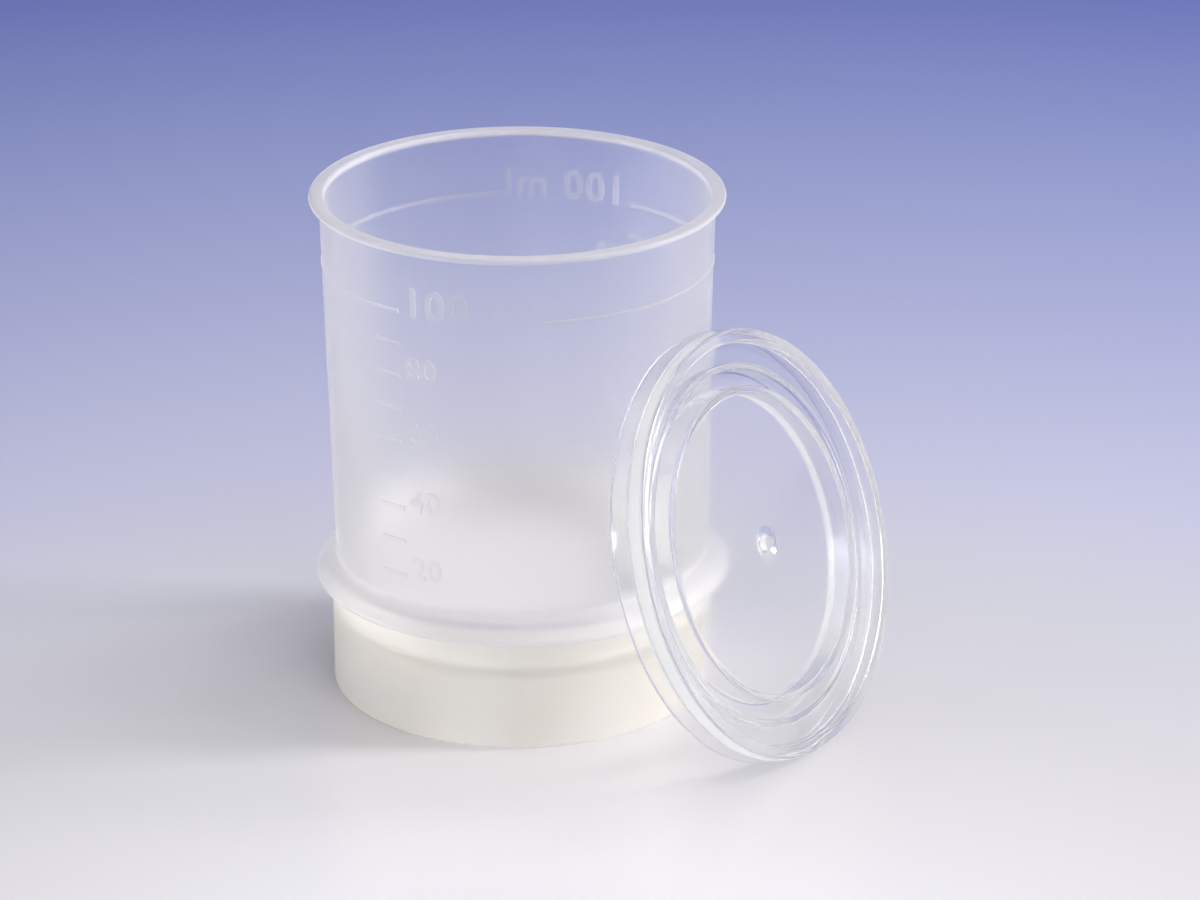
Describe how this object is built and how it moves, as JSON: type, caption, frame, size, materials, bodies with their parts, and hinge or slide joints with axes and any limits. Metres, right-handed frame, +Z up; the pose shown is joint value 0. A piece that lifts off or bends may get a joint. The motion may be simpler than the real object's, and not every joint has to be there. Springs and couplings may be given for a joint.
{
  "type": "vacuum filtration funnel unit",
  "caption": "Disposable membrane filter unit: graduated translucent funnel pressed onto a filter base with an outlet spigot, its clear lid leaning on the funnel.",
  "frame": {"origin": "on the funnel's axis, in the plane that the base and the lid stand on, which is the open end of the outlet's bore", "axes": "+Z up along the funnel's axis, -Y towards the front, where the scale's top number stands, +X towards the side where the lid leans"},
  "size_m": [0.0801, 0.0773, 0.0718],
  "materials": {
    "base_plastic": "warm off-white moulded plastic, satin",
    "pad_paper": "thick absorbent cellulose pad",
    "membrane_white": "white membrane filter, matte",
    "funnel_plastic": "milky translucent moulded plastic, satin",
    "lid_plastic": "clear rigid plastic, glossy"
  },
  "bodies": {
    "filter_base": {"base": "base_plastic", "support_pad": "pad_paper", "membrane": "membrane_white", "lid": "lid_plastic"},
    "funnel_body": {"funnel": "funnel_plastic"}
  },
  "joints": [
    {"name": "funnel_lift", "type": "slide", "parent": "filter_base", "child": "funnel_body", "axis": [0, 0, 1], "range_m": [0, 0.025]}
  ]
}
